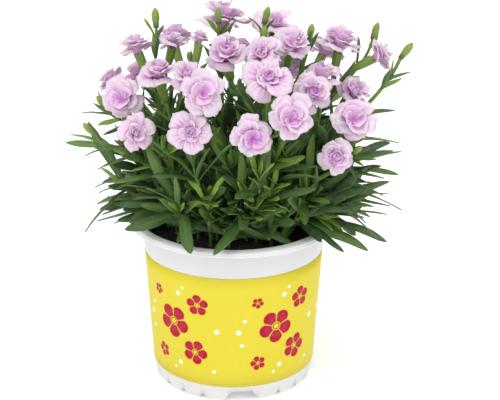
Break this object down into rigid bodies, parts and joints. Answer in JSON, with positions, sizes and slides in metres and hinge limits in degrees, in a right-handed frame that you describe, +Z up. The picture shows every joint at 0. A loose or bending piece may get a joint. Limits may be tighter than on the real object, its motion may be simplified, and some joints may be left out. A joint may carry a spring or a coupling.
{
  "type": "potted dianthus plant",
  "caption": "Dwarf carnation with fringed pale lilac double blooms, buds and narrow blue-green leaves, growing in a tapered white pot with a yellow printed band.",
  "frame": {"origin": "centre of the pot's foot, on the surface the pot stands on, on the pot's axis", "axes": "+Z up along the pot's axis, -Y towards the front of the plant, +X to the right seen from the front"},
  "size_m": [0.1987, 0.1595, 0.216],
  "materials": {
    "pot_plastic": "smooth moulded white polypropylene, satin gloss",
    "printed_film": "yellow printed film with plain crimson blossoms, satin",
    "peat": "dark crumbly peat, dull",
    "leaf": "narrow leaves and stems, mid green with a thin waxy bloom, satin",
    "petal": "thin pale lilac petals with darker veins at the heart, soft and dull"
  },
  "bodies": {
    "root": {"pot": "pot_plastic", "printed_band": "printed_film", "soil": "peat", "flower_stem_01": "leaf", "flower_stem_02": "leaf", "flower_stem_03": "leaf", "flower_stem_04": "leaf", "flower_stem_05": "leaf", "flower_stem_06": "leaf", "flower_stem_07": "leaf", "flower_stem_08": "leaf", "flower_stem_09": "leaf", "flower_stem_10": "leaf", "flower_stem_11": "leaf", "flower_stem_12": "leaf", "flower_stem_13": "leaf", "flower_stem_14": "leaf", "flower_stem_15": "leaf", "flower_stem_16": "leaf", "flower_stem_17": "leaf", "flower_stem_18": "leaf", "bloom_01": "petal", "bloom_02": "petal", "bloom_03": "petal", "bloom_04": "petal", "bloom_05": "petal", "bloom_06": "petal", "bloom_07": "petal", "bloom_08": "petal", "bloom_09": "petal", "bloom_10": "petal", "bloom_11": "petal", "bloom_12": "petal", "bloom_13": "petal", "bloom_14": "petal", "bloom_15": "petal", "bloom_16": "petal", "bloom_17": "petal", "bloom_18": "petal", "bloom_19": "petal", "bloom_20": "petal", "bloom_21": "petal", "bloom_22": "petal", "bloom_23": "petal", "bloom_24": "petal", "bloom_25": "petal", "bloom_26": "petal", "bloom_27": "petal", "bloom_28": "petal", "bloom_29": "petal", "bloom_30": "petal", "bloom_31": "petal", "leaf_tuft_01": "leaf", "leaf_tuft_02": "leaf", "leaf_tuft_03": "leaf", "leaf_tuft_04": "leaf", "leaf_tuft_05": "leaf", "leaf_tuft_06": "leaf", "leaf_tuft_07": "leaf", "leaf_tuft_08": "leaf"}
  },
  "joints": []
}
